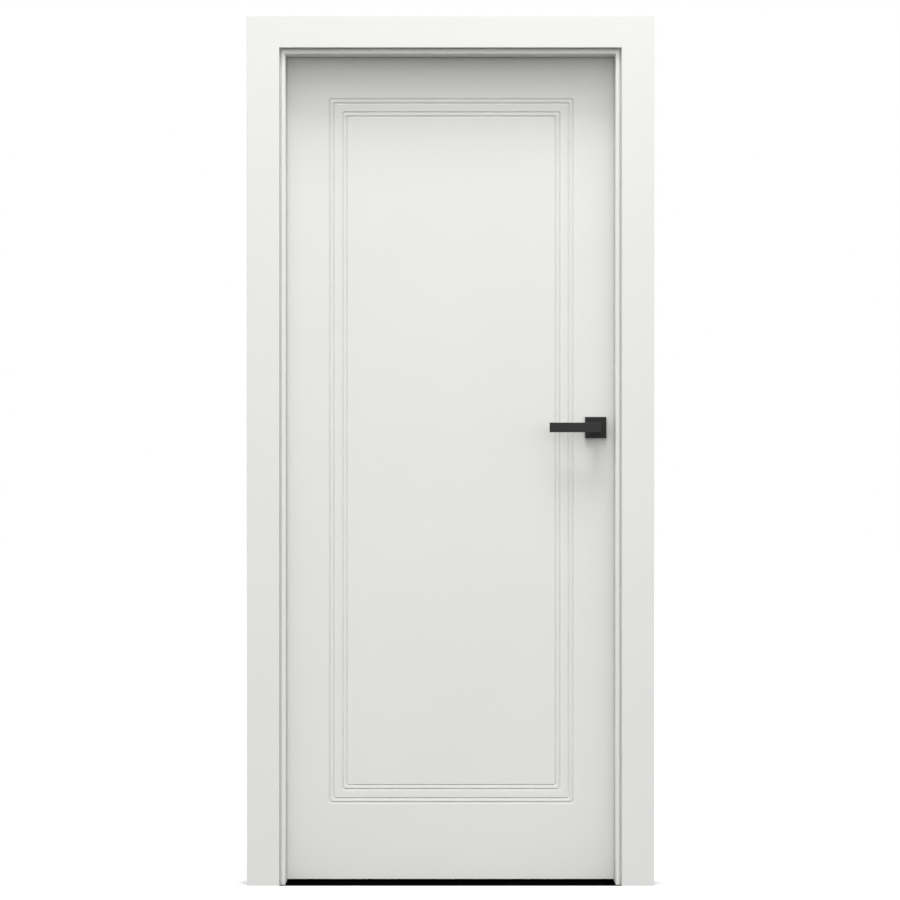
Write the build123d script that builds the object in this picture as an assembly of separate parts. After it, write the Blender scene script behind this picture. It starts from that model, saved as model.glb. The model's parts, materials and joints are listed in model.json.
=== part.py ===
"""White interior door set: a rebated leaf with milled grooves, hung in an adjustable wooden frame.

Millimetres, +Z up. The photographed (push) side faces -Y, and the leaf opens towards +Y.
X = 0 is the outer face of the hinge side lining, Y = 0 the front face of the wall, Z = 0 the floor.
"""
import os

from build123d import *

# Doorway and wall
clear_width = 802.0          # between the two stops
clear_height = 2016.5        # floor to the underside of the head stop
wall_thickness = 75.0

# Frame section, measured outwards from the clear opening
lining_thickness = 36.0
stop_thickness = 9.5
rebate_step = 14.0           # from the stop's face out to the rebate's face
slot_width = 4.0             # shadow slot between the stop and the front architrave
slot_depth = 5.0             # from the stop's front to the slot's floor
frame_arris = 2.0            # rounding of the frame's visible edges

# Architraves
architrave_width = 79.0
architrave_thickness = 12.0
tongue_thickness = 6.0
tongue_depth = 28.0
tongue_side_gap = 0.5
tongue_end_gap = 4.0

# Gasket
gasket_height = 9.5
gasket_reach = 1.5           # how far it shows inside the clear opening
gasket_radius = 1.5
soft_gap = 0.3               # between a soft piece and what it meets

# Threshold
threshold_thickness = 1.0
threshold_overrun = 5.0      # behind the leaf's back
scribe_gap = 0.3

# Leaf
leaf_thickness = 40.0
leaf_body_depth = 25.0       # the part of the thickness that goes into the rebate
leaf_lip_width = 13.0
leaf_edge_gap = 6.0          # leaf body to rebate face
leaf_stop_gap = 5.0          # leaf face to stop, filled by the gasket
leaf_lip_gap = 5.0           # lip to the back architrave
leaf_floor_gap = 5.0         # leaf to threshold
panel_thickness = 6.0
leaf_arris = 1.0             # rounding of the leaf's edges
hinge_stile_width = 45.0
lock_stile_width = 95.0
top_rail_height = 70.0
bottom_rail_height = 90.0

# Milled grooves on both faces of the leaf: two pairs of concentric rectangles
groove_hinge_margin = 113.5
groove_lock_margin = 110.0
groove_top_margin = 111.0
groove_bottom_margin = 188.0
groove_pair_pitch = 10.0
groove_pair_gap = 22.0
groove_width = 5.2
groove_depth = 3.6
groove_corner_radius = 4.0

# Hinges
barrel_radius = 7.5
barrel_half_length = 45.0
barrel_chamfer = 1.2
barrel_leaf_gap = 1.0
barrel_frame_gap = 2.0
bearing_gap = 0.3
hinge_inset = 240.0          # from the leaf's top and bottom to a hinge's middle
pin_radius = 4.0
pin_half_length = 38.0
pin_running_gap = 0.1
pin_end_gap = 0.5
hinge_key_size = 4.0         # across the flats of the key socket under the frame half
hinge_key_depth = 3.0
spigot_radius = 3.2
spigot_sides = 6
spigot_spacing = 24.0
frame_spigot_depth = 30.0
leaf_spigot_depth = 32.0
seat_gap = 0.1

# Handle
handle_height = 1110.5
backset = 54.0               # leaf body edge to the handle's axis
rose_size = 52.0
rose_thickness = 8.0
rose_chamfer = 0.8
lever_height = 23.5
lever_thickness = 12.0
lever_tip_reach = 114.0      # from the axis to the lever's tip
lever_projection = 58.0      # from the leaf's face to the lever's face
lever_chamfer = 0.8
neck_gap = 0.5               # neck to rose
collar_radius = 9.5
collar_depth = 6.0
collar_running_gap = 0.3
spindle_size = 8.0
spindle_socket_depth = 20.0
spindle_bore_radius = 7.0
set_screw_radius = 2.5
set_screw_inset = 12.0       # from the rose's face to the set screw under the neck

# Lock edge
forend_width = 14.0
forend_length = 235.0
forend_thickness = 3.0
latch_thickness = 10.0
latch_height = 30.0
latch_length = 24.0
latch_proud = 1.0            # beyond the forend, with the latch drawn in
latch_bevel = 9.0            # length of the sloping nose
latch_tip = 2.0
strike_length = 160.0
strike_width = 20.0
strike_thickness = 3.0
strike_slot_height = 36.0
strike_slot_width = 11.5
strike_lip = 2.0             # strike metal behind the slot
strike_pocket_depth = 12.0   # room for the latch behind the strike

# Places that follow from the sizes above
clear_left = lining_thickness
clear_right = clear_left + clear_width
middle_x = (clear_left + clear_right) / 2
front_face = -architrave_thickness
back_face = wall_thickness + architrave_thickness
architrave_inset = stop_thickness + slot_width
architrave_reach = architrave_inset + architrave_width
groove_inner = architrave_inset - tongue_side_gap
groove_outer = architrave_inset + tongue_thickness + tongue_side_gap

lip_face = back_face + leaf_lip_gap
leaf_front = lip_face - leaf_body_depth
leaf_back = leaf_front + leaf_thickness
stop_back = leaf_front - leaf_stop_gap
leaf_overlap = rebate_step - leaf_edge_gap
lip_overlap = leaf_overlap + leaf_lip_width
body_left = clear_left - leaf_overlap
body_right = clear_right + leaf_overlap
body_top = clear_height + leaf_overlap
lip_left = clear_left - lip_overlap
lip_right = clear_right + lip_overlap
lip_top = clear_height + lip_overlap
leaf_bottom = threshold_thickness + leaf_floor_gap
core_front = leaf_front + panel_thickness
core_back = leaf_back - panel_thickness

hinge_axis_x = lip_left - barrel_leaf_gap - barrel_radius
hinge_axis_y = back_face + barrel_frame_gap + barrel_radius
hinge_low = leaf_bottom + hinge_inset
hinge_high = lip_top - hinge_inset
hinge_heights = {"lower": hinge_low, "middle": (hinge_low + hinge_high) / 2, "upper": hinge_high}

handle_x = body_right - backset
strike_back = back_face - frame_arris
latch_y = strike_back - strike_lip - strike_slot_width / 2
leaf_middle = Plane.XZ.offset(-(leaf_front + leaf_back) / 2)
frame_middle = Plane.YZ.offset(middle_x)
hinge_mitre = Plane((clear_left, 0, clear_height), z_dir=(1, 0, 1))
lock_mitre = Plane((clear_right, 0, clear_height), z_dir=(-1, 0, 1))

parts = {}


def block(x, y, z):
    """A box between the low and high values given for each axis."""
    size = [high - low for low, high in (x, y, z)]
    centre = [(low + high) / 2 for low, high in (x, y, z)]
    return Pos(*centre) * Box(*size)


def bar(profile, start, direction, length):
    """A straight bar of a given section from a point along a direction."""
    return extrude(Plane(start, z_dir=direction) * profile, length)


def section(low, high):
    """A rectangle of the frame's section: first value outwards from the opening, second value along Y."""
    middle = ((low[0] + high[0]) / 2, (low[1] + high[1]) / 2)
    return Pos(*middle) * Rectangle(high[0] - low[0], high[1] - low[1])


def frame_members(profile, foot=0.0):
    """Hinge side, lock side and head lengths of one frame section, mitred at the top corners."""
    reach = profile.bounding_box().max.X
    top = clear_height + reach
    side_plane = Plane((clear_left, 0, top), x_dir=(-1, 0, 0), z_dir=(0, 0, -1))
    side = extrude(side_plane * profile, top - foot)
    hinge_side = split(side, hinge_mitre, Keep.BOTTOM)
    lock_side = mirror(hinge_side, frame_middle)
    head_plane = Plane((clear_right + reach, 0, clear_height), x_dir=(0, 0, 1), z_dir=(-1, 0, 0))
    head = extrude(head_plane * profile, clear_width + 2 * reach)
    head = split(head, hinge_mitre, Keep.TOP)
    head = split(head, lock_mitre, Keep.TOP)
    return hinge_side, lock_side, head


def make_frame():
    """Linings, stops, architraves and gaskets, each in three mitred lengths."""
    stop = section((0, 0), (stop_thickness, stop_back))
    stop = fillet(stop.vertices().group_by(Axis.Y)[0], frame_arris)

    lining = section((stop_thickness, 0), (lining_thickness, wall_thickness))
    lining -= section((stop_thickness, 0), (architrave_inset, slot_depth))
    lining -= section((groove_inner, 0), (groove_outer, tongue_depth + tongue_end_gap))
    lining -= section((stop_thickness, stop_back), (rebate_step, wall_thickness))

    front = section((architrave_inset, front_face), (architrave_reach, 0))
    front = fillet(front.vertices().group_by(Axis.Y)[0], frame_arris)
    front += section((architrave_inset, 0), (architrave_inset + tongue_thickness, tongue_depth))

    back = section((rebate_step, wall_thickness), (architrave_reach, back_face))
    back = fillet(back.vertices().group_by(Axis.Y)[-1], frame_arris)

    gasket = section((-gasket_reach, stop_back), (gasket_height - gasket_reach, leaf_front - soft_gap))
    gasket = fillet(gasket.vertices(), gasket_radius)

    gasket_foot = threshold_thickness + soft_gap
    members = {
        "{}_stop": frame_members(stop),
        "{}_lining": frame_members(lining),
        "front_architrave_{}": frame_members(front),
        "back_architrave_{}": frame_members(back),
        "{}_gasket": frame_members(gasket, gasket_foot),
    }
    for name, solids in members.items():
        for side, solid in zip(("hinge", "lock", "head"), solids):
            parts[name.format(side)] = solid


def make_threshold():
    """A thin strip on the floor, scribed round the feet of the frame."""
    stop_foot = stop_back + scribe_gap
    half_outline = (
        (architrave_inset, front_face),
        (architrave_inset, -scribe_gap),
        (0, -scribe_gap),
        (0, stop_foot),
        (rebate_step, stop_foot),
        (rebate_step, leaf_back + threshold_overrun),
    )
    hinge_half = [(clear_left - outwards + scribe_gap, y) for outwards, y in half_outline]
    lock_half = [(2 * middle_x - x, y) for x, y in reversed(hinge_half)]
    outline = Polygon(*hinge_half, *lock_half, align=None)
    parts["threshold"] = extrude(outline, threshold_thickness, dir=(0, 0, 1))


def groove_cutter(inset):
    """A V-groove round the front face, as a triangle swept along a rounded rectangle."""
    left = body_left + groove_hinge_margin + inset
    right = body_right - groove_lock_margin - inset
    low = leaf_bottom + groove_bottom_margin + inset
    high = body_top - groove_top_margin - inset
    centre = ((left + right) / 2, leaf_front, (low + high) / 2)
    face_plane = Plane(centre, x_dir=(1, 0, 0), z_dir=(0, -1, 0))
    path = (face_plane * RectangleRounded(right - left, high - low, groove_corner_radius)).wire()
    cut_plane = Plane((middle_x, leaf_front, low), x_dir=(0, 0, 1), z_dir=(1, 0, 0))
    half = groove_width / 2
    triangle = cut_plane * Polygon((-half, 0), (half, 0), (0, -groove_depth), align=None)
    return sweep(triangle, path)


def make_leaf():
    """Two panels over stiles, rails and a core, with a lip round three edges."""
    body_x = (body_left, body_right)
    body_z = (leaf_bottom, body_top)
    lip_z = (leaf_bottom, lip_top)
    front = block(body_x, (leaf_front, core_front), body_z)
    front = fillet(front.faces().sort_by(Axis.Y)[0].edges(), leaf_arris)
    back = block((lip_left, lip_right), (core_back, leaf_back), lip_z)
    back = fillet(back.faces().sort_by(Axis.Y)[-1].edges(), leaf_arris)
    second_pair = groove_pair_pitch + groove_pair_gap
    for inset in (0, groove_pair_pitch, second_pair, second_pair + groove_pair_pitch):
        cutter = groove_cutter(inset)
        front -= cutter
        back -= mirror(cutter, leaf_middle)
    parts["leaf_front_panel"] = front
    parts["leaf_back_panel"] = back

    core_y = (core_front, core_back)
    lip_y = (lip_face, core_back)
    inner_left = body_left + hinge_stile_width
    inner_right = body_right - lock_stile_width
    inner_low = leaf_bottom + bottom_rail_height
    inner_high = body_top - top_rail_height
    hinge_stile = block((body_left, inner_left), core_y, body_z)
    parts["hinge_stile"] = hinge_stile + block((lip_left, inner_left), lip_y, lip_z)
    lock_stile = block((inner_right, body_right), core_y, body_z)
    parts["lock_stile"] = lock_stile + block((inner_right, lip_right), lip_y, lip_z)
    inner_x = (inner_left, inner_right)
    top_rail = block(inner_x, core_y, (inner_high, body_top))
    parts["top_rail"] = top_rail + block(inner_x, lip_y, (inner_high, lip_top))
    parts["bottom_rail"] = block(inner_x, core_y, (leaf_bottom, inner_low))
    parts["leaf_core"] = block(inner_x, core_y, (inner_low, inner_high))


def make_hinge(name, height):
    """One lift-off barrel hinge: frame half below, leaf half above, on a hidden pin."""
    axis = Pos(hinge_axis_x, hinge_axis_y, height)
    half_gap = bearing_gap / 2
    upwards = (Align.CENTER, Align.CENTER, Align.MIN)
    barrel = Cylinder(barrel_radius, barrel_half_length, align=upwards)
    barrel = chamfer(barrel.edges().group_by(Axis.Z)[-1], barrel_chamfer)
    leaf_half = axis * Pos(0, 0, half_gap) * barrel
    frame_half = axis * Pos(0, 0, -half_gap) * Rot(180, 0, 0) * barrel

    spigot = RegularPolygon(spigot_radius, spigot_sides)
    seat = RegularPolygon(spigot_radius + seat_gap, spigot_sides)
    frame_reach = hinge_axis_y - back_face + frame_spigot_depth
    leaf_reach = lip_left - hinge_axis_x + leaf_spigot_depth
    middle_of_half = half_gap + barrel_half_length / 2
    for offset in (-spigot_spacing / 2, spigot_spacing / 2):
        frame_start = (hinge_axis_x, hinge_axis_y, height - middle_of_half + offset)
        leaf_start = (hinge_axis_x, hinge_axis_y, height + middle_of_half + offset)
        frame_half += bar(spigot, frame_start, (0, -1, 0), frame_reach)
        leaf_half += bar(spigot, leaf_start, (1, 0, 0), leaf_reach)
        frame_seat = bar(seat, frame_start, (0, -1, 0), frame_reach + seat_gap)
        parts["back_architrave_hinge"] -= frame_seat
        parts["hinge_lining"] -= frame_seat
        parts["hinge_stile"] -= bar(seat, leaf_start, (1, 0, 0), leaf_reach + seat_gap)

    pin = axis * Cylinder(pin_radius, 2 * pin_half_length)
    bore_radius = pin_radius + pin_running_gap
    running_bore = axis * Cylinder(bore_radius, pin_half_length + pin_end_gap, align=upwards)
    parts[f"hinge_pin_{name}"] = pin
    key = RegularPolygon(hinge_key_size / 2, 6, major_radius=False)
    foot = (hinge_axis_x, hinge_axis_y, height - half_gap - barrel_half_length)
    parts[f"hinge_frame_half_{name}"] = frame_half - pin - bar(key, foot, (0, 0, 1), hinge_key_depth)
    parts[f"hinge_leaf_half_{name}"] = leaf_half - running_bore


def make_handle():
    """Square rose and L lever on each side of the leaf, on one square spindle."""
    rose_front = leaf_front - rose_thickness
    around = (handle_x - rose_size / 2, handle_x + rose_size / 2)
    upright = (handle_height - rose_size / 2, handle_height + rose_size / 2)
    rose = block(around, (rose_front, leaf_front), upright)
    rose = chamfer(rose.faces().sort_by(Axis.Y)[0].edges(), rose_chamfer)
    axis_at_leaf = (handle_x, leaf_front, handle_height)
    rose -= bar(Circle(collar_radius + collar_running_gap), axis_at_leaf, (0, -1, 0), rose_thickness)

    bar_front = leaf_front - lever_projection
    bar_back = bar_front + lever_thickness
    neck_back = rose_front - neck_gap
    half = lever_height / 2
    lever_z = (handle_height - half, handle_height + half)
    lever = block((handle_x - lever_tip_reach, handle_x + half), (bar_front, bar_back), lever_z)
    lever += block((handle_x - half, handle_x + half), (bar_front, neck_back), lever_z)
    lever = chamfer(lever.edges(), lever_chamfer)
    lever += bar(Circle(collar_radius), (handle_x, neck_back, handle_height), (0, 1, 0), collar_depth)
    collar_back = neck_back + collar_depth
    socket_front = collar_back - spindle_socket_depth
    socket_half = spindle_size / 2 + seat_gap
    lever -= block(
        (handle_x - socket_half, handle_x + socket_half),
        (socket_front - seat_gap, collar_back),
        (handle_height - socket_half, handle_height + socket_half),
    )
    under_neck = (handle_x, rose_front - set_screw_inset, handle_height - half)
    lever -= bar(Circle(set_screw_radius), under_neck, (0, 0, 1), half)
    parts["front_rose"] = rose
    parts["back_rose"] = mirror(rose, leaf_middle)
    parts["front_lever"] = lever
    parts["back_lever"] = mirror(lever, leaf_middle)

    spindle_half = spindle_size / 2
    socket_back = leaf_front + leaf_back - socket_front
    parts["handle_spindle"] = block(
        (handle_x - spindle_half, handle_x + spindle_half),
        (socket_front, socket_back),
        (handle_height - spindle_half, handle_height + spindle_half),
    )
    bore = bar(Circle(spindle_bore_radius), axis_at_leaf, (0, 1, 0), leaf_thickness)
    for node in ("leaf_front_panel", "lock_stile", "leaf_back_panel"):
        parts[node] -= bore


def make_lock_edge():
    """Forend and latch in the leaf's edge, strike plate in the rebate opposite."""
    edge = body_right
    forend_y = (latch_y - forend_width / 2, latch_y + forend_width / 2)
    forend_z = (handle_height - forend_length / 2, handle_height + forend_length / 2)
    forend = block((edge - forend_thickness, edge), forend_y, forend_z)

    latch_front = latch_y - latch_thickness / 2
    latch_back = latch_y + latch_thickness / 2
    latch_low = handle_height - latch_height / 2
    latch_root = edge - latch_length
    latch_nose = edge + latch_proud
    latch_outline = Polygon(
        (latch_root, latch_front),
        (latch_nose - latch_bevel, latch_front),
        (latch_nose, latch_back - latch_tip),
        (latch_nose, latch_back),
        (latch_root, latch_back),
        align=None,
    )
    parts["latch_bolt"] = Pos(0, 0, latch_low) * extrude(latch_outline, latch_height, dir=(0, 0, 1))
    pocket = block(
        (latch_root, edge),
        (latch_front - soft_gap, latch_back + soft_gap),
        (latch_low - soft_gap, latch_low + latch_height + soft_gap),
    )
    for node in ("leaf_front_panel", "lock_stile"):
        parts[node] -= forend + pocket
    parts["lock_forend"] = forend - pocket

    rebate_face = clear_right + rebate_step
    strike_inner = rebate_face + strike_thickness
    strike_z = (handle_height - strike_length / 2, handle_height + strike_length / 2)
    strike = block((rebate_face, strike_inner), (strike_back - strike_width, strike_back), strike_z)
    slot_y = (latch_y - strike_slot_width / 2, latch_y + strike_slot_width / 2)
    slot_z = (handle_height - strike_slot_height / 2, handle_height + strike_slot_height / 2)
    latch_room = block((rebate_face, strike_inner + strike_pocket_depth), slot_y, slot_z)
    for node in ("lock_lining", "back_architrave_lock"):
        parts[node] -= strike + latch_room
    parts["strike_plate"] = strike - latch_room


make_frame()
make_threshold()
make_leaf()
for hinge_name, hinge_height in hinge_heights.items():
    make_hinge(hinge_name, hinge_height)
make_handle()
make_lock_edge()

os.makedirs("parts", exist_ok=True)
for node, solid in parts.items():
    export_step(solid, f"parts/{node}.step")
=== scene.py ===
"""Looks of the white interior door set: finishes, fixings, floor, light and camera, in metres."""

import json
import math

import bmesh
import bpy
from mathutils import Matrix, Vector


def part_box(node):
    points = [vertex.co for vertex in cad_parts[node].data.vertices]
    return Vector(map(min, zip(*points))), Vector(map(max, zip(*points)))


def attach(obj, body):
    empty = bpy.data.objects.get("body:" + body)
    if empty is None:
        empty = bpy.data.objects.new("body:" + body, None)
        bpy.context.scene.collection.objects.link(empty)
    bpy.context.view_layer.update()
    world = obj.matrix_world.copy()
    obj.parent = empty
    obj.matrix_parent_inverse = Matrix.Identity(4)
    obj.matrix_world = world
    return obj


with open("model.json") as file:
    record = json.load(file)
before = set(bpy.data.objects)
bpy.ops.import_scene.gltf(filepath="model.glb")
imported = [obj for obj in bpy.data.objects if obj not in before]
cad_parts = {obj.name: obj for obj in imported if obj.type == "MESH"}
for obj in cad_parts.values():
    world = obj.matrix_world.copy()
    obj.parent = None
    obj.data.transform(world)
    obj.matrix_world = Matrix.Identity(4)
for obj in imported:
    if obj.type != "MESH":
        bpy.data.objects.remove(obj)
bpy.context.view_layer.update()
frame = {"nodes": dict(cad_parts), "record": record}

# Camera: square on to the door, as in the photograph
view_width = 2.1799            # what the square picture spans in the plane of the front architraves
camera_distance = 8.0          # from that plane
camera_height = 1.0556
camera_side_step = -0.00116    # from the middle of the doorway
camera_reach = 200.0           # well past the far edge of the floor
sensor_width = 36.0            # millimetres

# Light: a plain sky, and soft lamps with their watts, sizes and places from the doorway's foot
plain_white = (1, 1, 1, 1)
sky_strength = 1.32
backdrop_strength = 1.0
lamps = {
    "top": (14.0, (2.0, 1.2), Vector((0.3, -1.1, 4.0))),
    "far": (443.0, (3.6, 2.2), Vector((0.0, -2.8, 9.76))),
    "side": (14.0, (2.0, 1.2), Vector((2.0, -2.2, 5.0))),
}
lamp_aim_height = 1.2

# Floor
floor_half_size = 30.0
floor_white = (0.77, 0.77, 0.77, 1)     # as it is seen
floor_bounce = (0.04, 0.04, 0.04, 1)    # as it lights the door

# Finishes
noise_low = 0.3                # most values of a noise lie between these two
noise_high = 0.7
skin = 0.0004                  # how near to a plane a bare face lies
mix_sockets = {"FLOAT": (0, 2, 3, 0), "RGBA": (0, 6, 7, 2)}    # share, first, second and result

# Screws of the lock plates
screw_radius = 0.0038
screw_proud = 0.0007
screw_sunk = 0.001
shank_share = 0.6              # of the screw's radius
crown_share = 0.8
cross_reach = 0.0023
cross_half_width = 0.0006
cross_depth = 0.0006
cross_floor_share = 0.75       # of the cross at its mouth
forend_screw_inset = 0.012     # from the plate's ends
strike_screw_inset = 0.018

# Set screws under the necks of the levers
set_screw_radius = 0.0024
set_screw_length = 0.005
set_screw_inset = 0.0007       # how deep it lies in its hole
set_screw_chamfer = 0.0003
set_screw_socket_radius = 0.0014
set_screw_socket_depth = 0.0015
set_screw_socket_sides = 6
set_screw_from_rose = 0.012    # from the rose's face

# Loops of points that make up a fixing
outline_points = 24            # in each loop
first_point_angle = math.radians(-15)    # near the first corner of the cross

scene = bpy.context.scene
head_low, head_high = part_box("front_architrave_head")
door_middle = (head_low.x + head_high.x) / 2
front_plane = head_low.y


def add(tree, kind, inputs=None, **settings):
    """A shader node with its settings and its inputs, each a value or another node's output."""
    made = tree.nodes.new(kind)
    for name, value in settings.items():
        setattr(made, name, value)
    for key, value in (inputs or {}).items():
        if isinstance(value, bpy.types.NodeSocket):
            tree.links.new(value, made.inputs[key])
        else:
            made.inputs[key].default_value = value
    return made


def new_material(name):
    """A new node material, with its tree and its main shader."""
    material = bpy.data.materials.new(name)
    material.use_nodes = True
    tree = material.node_tree
    return material, tree, tree.nodes["Principled BSDF"]


def place_on_piece(tree):
    """Coordinates on the piece, in metres."""
    return add(tree, "ShaderNodeTexCoord").outputs["Object"]


def noise(tree, bumps, detail=2.0, stretch=(1, 1, 1)):
    """A grey noise of so many bumps to the metre, multiplied by a stretch for each axis."""
    place = add(tree, "ShaderNodeMapping", {"Vector": place_on_piece(tree), "Scale": stretch})
    inputs = {"Vector": place.outputs["Vector"], "Scale": bumps, "Detail": detail}
    return add(tree, "ShaderNodeTexNoise", inputs).outputs["Fac"]


def spread(tree, value, lowest, highest):
    """A noise brought into a range of values."""
    inputs = {
        "Value": value,
        "From Min": noise_low,
        "From Max": noise_high,
        "To Min": lowest,
        "To Max": highest,
    }
    return add(tree, "ShaderNodeMapRange", inputs).outputs["Result"]


def combine(tree, operation, first, second):
    """Two numbers combined or compared."""
    return add(tree, "ShaderNodeMath", {0: first, 1: second}, operation=operation).outputs[0]


def mix(tree, kind, share, first, second):
    """A number or a colour between two, by a share of the second."""
    share_socket, first_socket, second_socket, result_socket = mix_sockets[kind]
    inputs = {share_socket: share, first_socket: first, second_socket: second}
    return add(tree, "ShaderNodeMix", inputs, data_type=kind).outputs[result_socket]


def two_tone(tree, value, darker, lighter):
    """A colour between two, by a noise."""
    return mix(tree, "RGBA", spread(tree, value, 0.0, 1.0), (*darker, 1), (*lighter, 1))


def surface(tree, shader, tone, roughness, height, strength, depth):
    """Colour, roughness and relief of a surface, each from its own nodes."""
    relief = add(tree, "ShaderNodeBump", {"Height": height, "Strength": strength, "Distance": depth})
    tree.links.new(tone, shader.inputs["Base Color"])
    tree.links.new(roughness, shader.inputs["Roughness"])
    tree.links.new(relief.outputs["Normal"], shader.inputs["Normal"])


def wall_side(tree):
    """One on the faces that meet the wall, and zero elsewhere."""
    hinge_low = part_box("hinge_lining")[0]
    lock_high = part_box("lock_lining")[1]
    x, y, z = add(tree, "ShaderNodeSeparateXYZ", {0: place_on_piece(tree)}).outputs
    beside = combine(tree, "LESS_THAN", x, hinge_low.x + skin)
    beside = combine(tree, "MAXIMUM", beside, combine(tree, "GREATER_THAN", x, lock_high.x - skin))
    beside = combine(tree, "MAXIMUM", beside, combine(tree, "GREATER_THAN", z, lock_high.z - skin))
    behind_front = combine(tree, "GREATER_THAN", y, hinge_low.y - skin)
    before_back = combine(tree, "LESS_THAN", y, lock_high.y + skin)
    return combine(tree, "MULTIPLY", beside, combine(tree, "MULTIPLY", behind_front, before_back))


def lacquer(name, bare=None):
    """Satin white lacquer with a fine orange peel, and bare fibreboard where a mask says so."""
    material, tree, shader = new_material(name)
    clouds = noise(tree, bumps=3.0, detail=3.0)
    tone = two_tone(tree, clouds, darker=(0.80, 0.806, 0.783), lighter=(0.815, 0.82, 0.797))
    roughness = spread(tree, noise(tree, bumps=9.0, detail=4.0), lowest=0.38, highest=0.46)
    if bare:
        uncovered = bare(tree)
        fibres = noise(tree, bumps=600.0, detail=5.0)
        board = two_tone(tree, fibres, darker=(0.36, 0.26, 0.16), lighter=(0.47, 0.36, 0.24))
        board_roughness = 0.9
        tone = mix(tree, "RGBA", uncovered, tone, board)
        roughness = mix(tree, "FLOAT", uncovered, roughness, board_roughness)
    orange_peel = noise(tree, bumps=650.0)
    surface(tree, shader, tone, roughness, orange_peel, strength=0.08, depth=0.0002)
    return material


def powder_coat():
    """Matte black powder coat with a fine sandy grain."""
    material, tree, shader = new_material("powder_coat")
    speckle = noise(tree, bumps=1800.0)
    tone = two_tone(tree, speckle, darker=(0.014, 0.014, 0.0133), lighter=(0.022, 0.022, 0.0209))
    roughness = spread(tree, noise(tree, bumps=60.0, detail=3.0), lowest=0.5, highest=0.62)
    grain = noise(tree, bumps=2600.0)
    surface(tree, shader, tone, roughness, grain, strength=0.25, depth=0.0002)
    shader.inputs["Specular IOR Level"].default_value = 0.3
    return material


def seal_with_painted_shade():
    """Grey rubber, darkened from a light grey as painted shade for the dark line between the stops and
    the leaf.
    """
    material, tree, shader = new_material("seal_with_painted_shade")
    clouds = noise(tree, bumps=40.0, detail=3.0)
    # painted shade: these greys are darker than the seal's own light grey, to darken the line between
    # stops and leaf
    tone = two_tone(tree, clouds, darker=(0.37, 0.37, 0.36), lighter=(0.43, 0.43, 0.42))
    roughness = spread(tree, noise(tree, bumps=300.0), lowest=0.6, highest=0.75)
    grain = noise(tree, bumps=1500.0)
    surface(tree, shader, tone, roughness, grain, strength=0.1, depth=0.0002)
    return material


def shade_gap_strip():
    """Near-black strip on the floor, painted shade for the dark gap under the leaf, with a fine nap."""
    material, tree, shader = new_material("shade_gap_strip")
    speckle = noise(tree, bumps=1200.0)
    # painted shade: tones near black, with no shine, stand for the unlit gap under the leaf
    tone = two_tone(tree, speckle, darker=(0.0008, 0.0008, 0.0008), lighter=(0.002, 0.002, 0.002))
    roughness = spread(tree, noise(tree, bumps=200.0), lowest=0.9, highest=1.0)
    nap = noise(tree, bumps=1500.0)
    surface(tree, shader, tone, roughness, nap, strength=0.3, depth=0.0003)
    shader.inputs["Specular IOR Level"].default_value = 0.0
    return material


def chipboard():
    """Raw chipboard of the leaf's infill."""
    material, tree, shader = new_material("chipboard")
    chips = noise(tree, bumps=180.0, detail=4.0)
    tone = two_tone(tree, chips, darker=(0.5, 0.38, 0.24), lighter=(0.7, 0.58, 0.42))
    roughness = spread(tree, chips, lowest=0.8, highest=0.95)
    surface(tree, shader, tone, roughness, chips, strength=0.3, depth=0.0006)
    return material


def brushed_metal(name, darker, lighter, roughness, brush):
    """Satin metal with fine brush lines, given as bumps to the metre along each axis."""
    material, tree, shader = new_material(name)
    lines = noise(tree, bumps=1.0, stretch=brush)
    tone = two_tone(tree, lines, darker, lighter)
    swing = 0.06
    gloss = spread(tree, lines, roughness - swing, roughness + swing)
    surface(tree, shader, tone, gloss, lines, strength=0.12, depth=0.0001)
    shader.inputs["Metallic"].default_value = 1.0
    return material


def satin_nickel():
    """Warm nickel with brush lines round the barrels."""
    darker = (0.44, 0.42, 0.39)
    lighter = (0.54, 0.52, 0.49)
    return brushed_metal("satin_nickel", darker, lighter, roughness=0.3, brush=(60.0, 60.0, 5000.0))


def brushed_steel():
    """Stainless steel with upright brush lines."""
    darker = (0.33, 0.33, 0.325)
    lighter = (0.47, 0.47, 0.46)
    return brushed_metal("brushed_steel", darker, lighter, roughness=0.28, brush=(5000.0, 5000.0, 60.0))


def make_finishes():
    """One finish for each material slot of the record."""
    return {
        "frame_white": lacquer("frame_lacquer", wall_side),
        "leaf_white": lacquer("leaf_lacquer"),
        "core_board": chipboard(),
        # the gasket's grey is partly painted shade for the line between the stops and the leaf
        "gasket": seal_with_painted_shade(),
        # the threshold strip is painted shade for the dark gap under the leaf
        "threshold": shade_gap_strip(),
        "handle_black": powder_coat(),
        "hinge_steel": satin_nickel(),
        "lock_steel": brushed_steel(),
    }


def dress_nodes():
    """Give every node the finish of its slot in the record."""
    for subpart in frame["record"]["subparts"]:
        piece = frame["nodes"][subpart["node"]]
        piece.data.materials.clear()
        piece.data.materials.append(finishes[subpart["material_slot"]])


def polar(radius, angle):
    """A point at a distance and an angle from the middle."""
    return Vector((radius * math.cos(angle), radius * math.sin(angle)))


def scaled(outline, share):
    """An outline drawn in towards the middle."""
    return [share * point for point in outline]


def filled_in(corners):
    """The corners of an outline, with evenly spaced points on its sides."""
    steps = outline_points // len(corners)
    sides = zip(corners, corners[1:] + corners[:1])
    return [start.lerp(end, step / steps) for start, end in sides for step in range(steps)]


def regular_outline(radius, sides):
    """A regular polygon."""
    return filled_in([polar(radius, first_point_angle + math.tau * k / sides) for k in range(sides)])


def cross_outline():
    """A cross for a screwdriver, as one arm in four quarter turns."""
    half = cross_half_width
    arm = [(cross_reach, -half), (cross_reach, half), (half, half)]
    turns = [Matrix.Rotation(math.radians(90 * k), 2) for k in range(4)]
    return filled_in([turn @ Vector(corner) for turn in turns for corner in arm])


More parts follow.
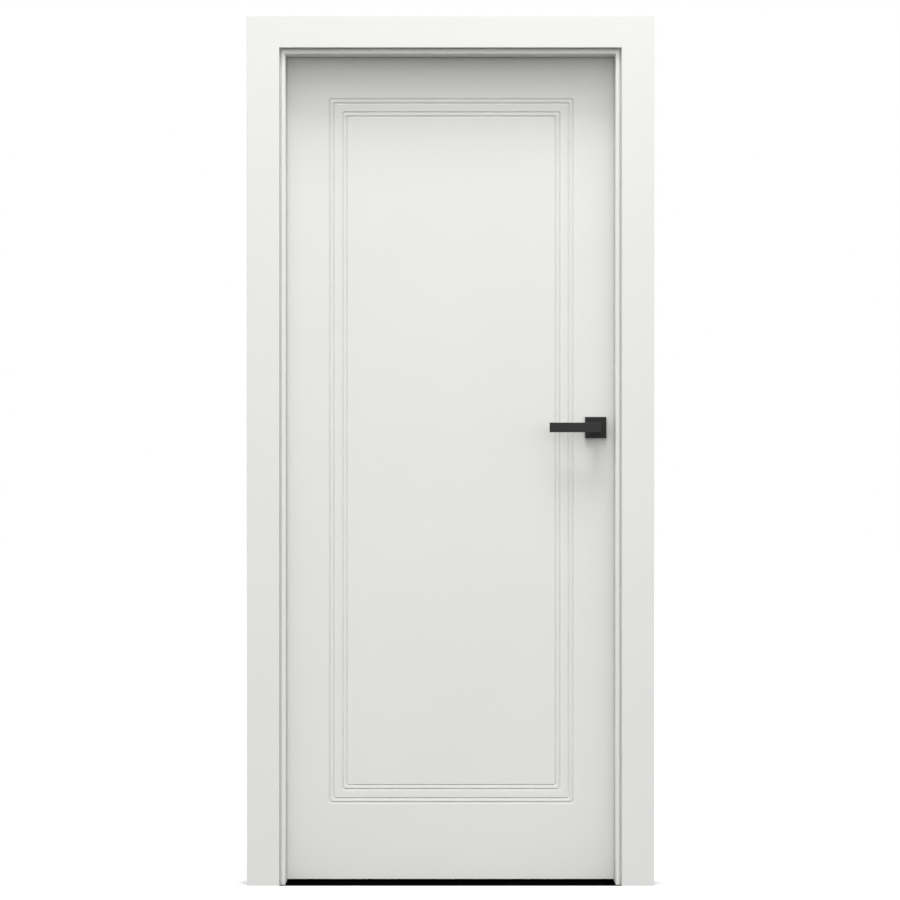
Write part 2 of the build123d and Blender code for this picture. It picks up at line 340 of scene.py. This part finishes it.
def screw_levels():
    """A plate's screw: a low crowned head with a cross recess, sunk into the plate."""
    rim = regular_outline(screw_radius, outline_points)
    cross = cross_outline()
    return [
        (scaled(rim, shank_share), -screw_sunk),
        (rim, 0.0),
        (rim, screw_proud / 2),
        (scaled(rim, crown_share), screw_proud),
        (cross, screw_proud),
        (scaled(cross, cross_floor_share), screw_proud - cross_depth),
    ]


def set_screw_levels():
    """A headless set screw with a hexagon socket, inside its hole."""
    rim = regular_outline(set_screw_radius, outline_points)
    socket = regular_outline(set_screw_socket_radius, set_screw_socket_sides)
    return [
        (rim, -set_screw_inset - set_screw_length),
        (rim, -set_screw_inset - set_screw_chamfer),
        (scaled(rim, 1 - set_screw_chamfer / set_screw_radius), -set_screw_inset),
        (socket, -set_screw_inset),
        (socket, -set_screw_inset - set_screw_socket_depth),
    ]


def make_fixing(name, levels, centre, outwards, body, slot):
    """A closed skin over loops of points, each at its height outwards from the centre."""
    shape = bmesh.new()
    loops = [[shape.verts.new((*point, height)) for point in outline] for outline, height in levels]
    for lower, upper in zip(loops, loops[1:]):
        for k in range(outline_points):
            after = (k + 1) % outline_points
            shape.faces.new((lower[k], lower[after], upper[after], upper[k]))
    shape.faces.new(loops[0][::-1])
    shape.faces.new(loops[-1])
    turn = Vector(outwards).to_track_quat("Z", "Y").to_matrix().to_4x4()
    shape.transform(Matrix.Translation(centre) @ turn)

    mesh = bpy.data.meshes.new(name)
    shape.to_mesh(mesh)
    shape.free()
    mesh.materials.append(finishes[slot])
    piece = bpy.data.objects.new(name, mesh)
    scene.collection.objects.link(piece)
    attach(piece, body)


def make_plate_screws(plate, node, inset, outwards, body):
    """A screw near each end of a plate, in its face that looks outwards along X."""
    low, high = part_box(node)
    face = high.x if outwards > 0 else low.x
    across = (low.y + high.y) / 2
    for end, height in (("lower", low.z + inset), ("upper", high.z - inset)):
        centre = (face, across, height)
        make_fixing(f"{plate}_screw_{end}", screw_levels(), centre, (outwards, 0, 0), body, "lock_steel")


def make_set_screws():
    """A set screw under the neck of each lever."""
    front_low, front_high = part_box("front_rose")
    neck_x = (front_low.x + front_high.x) / 2
    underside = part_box("front_lever")[0].z
    necks = {
        "front": front_low.y - set_screw_from_rose,
        "back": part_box("back_rose")[1].y + set_screw_from_rose,
    }
    for side, neck_y in necks.items():
        centre = (neck_x, neck_y, underside)
        make_fixing(f"{side}_set_screw", set_screw_levels(), centre, (0, 0, -1), "handle", "handle_black")


def seen_rays(tree):
    """One for what the camera sees, straight or in a mirror or through glass, and zero for light."""
    path = add(tree, "ShaderNodeLightPath").outputs
    seen = combine(tree, "MAXIMUM", path["Is Camera Ray"], path["Is Glossy Ray"])
    return combine(tree, "MAXIMUM", seen, path["Is Transmission Ray"])


def light_or_seen(tree, for_light, for_view):
    """One shader for light, and another for what the camera sees."""
    inputs = {0: seen_rays(tree), 1: for_light.outputs[0], 2: for_view.outputs[0]}
    return add(tree, "ShaderNodeMixShader", inputs).outputs[0]


def make_floor():
    """A pale floor that fades into the white backdrop and keeps the door's shadow."""
    mesh = bpy.data.meshes.new("floor")
    half = floor_half_size
    corners = [(-half, -half, 0), (half, -half, 0), (half, half, 0), (-half, half, 0)]
    mesh.from_pydata(corners, [], [(0, 1, 2, 3)])
    floor = bpy.data.objects.new("floor", mesh)
    scene.collection.objects.link(floor)
    material, tree, shader = new_material("pale_floor")
    tree.nodes.remove(shader)
    bounce = add(tree, "ShaderNodeBsdfDiffuse", {"Color": floor_bounce})
    pale = add(tree, "ShaderNodeBsdfDiffuse", {"Color": floor_white})
    tree.links.new(light_or_seen(tree, bounce, pale), tree.nodes["Material Output"].inputs["Surface"])
    mesh.materials.append(material)


def make_sky():
    """A plain sky as light, and a white dome as backdrop."""
    world = bpy.data.worlds.new("studio")
    world.use_nodes = True
    scene.world = world
    tree = world.node_tree
    sky = tree.nodes["Background"]
    sky.inputs["Color"].default_value = plain_white
    sky.inputs["Strength"].default_value = sky_strength
    dome = add(tree, "ShaderNodeBackground", {"Color": plain_white, "Strength": backdrop_strength})
    tree.links.new(light_or_seen(tree, sky, dome), tree.nodes["World Output"].inputs["Surface"])


def make_lamps():
    """Soft lamps overhead, in front of the door."""
    foot = Vector((door_middle, front_plane, 0))
    aim = foot + Vector((0, 0, lamp_aim_height))
    for name, (power, size, place) in lamps.items():
        data = bpy.data.lights.new(name, "AREA")
        data.shape = "RECTANGLE"
        data.size, data.size_y = size
        data.energy = power
        lamp = bpy.data.objects.new(name, data)
        lamp.location = foot + place
        lamp.rotation_euler = (aim - lamp.location).to_track_quat("-Z", "Y").to_euler()
        scene.collection.objects.link(lamp)


def make_camera():
    """A camera square on to the door, far enough back for the photograph's slight perspective."""
    data = bpy.data.cameras.new("camera")
    data.sensor_fit = "HORIZONTAL"
    data.sensor_width = sensor_width
    data.lens = sensor_width * camera_distance / view_width
    data.clip_end = camera_reach
    camera = bpy.data.objects.new("camera", data)
    camera.location = (door_middle + camera_side_step, front_plane - camera_distance, camera_height)
    camera.rotation_euler = (math.radians(90), 0, 0)
    scene.collection.objects.link(camera)
    scene.camera = camera


scene.view_settings.view_transform = "Standard"
finishes = make_finishes()
dress_nodes()
make_plate_screws("forend", "lock_forend", forend_screw_inset, 1, "leaf")
make_plate_screws("strike", "strike_plate", strike_screw_inset, -1, "frame")
make_set_screws()
make_floor()
make_sky()
make_lamps()
make_camera()
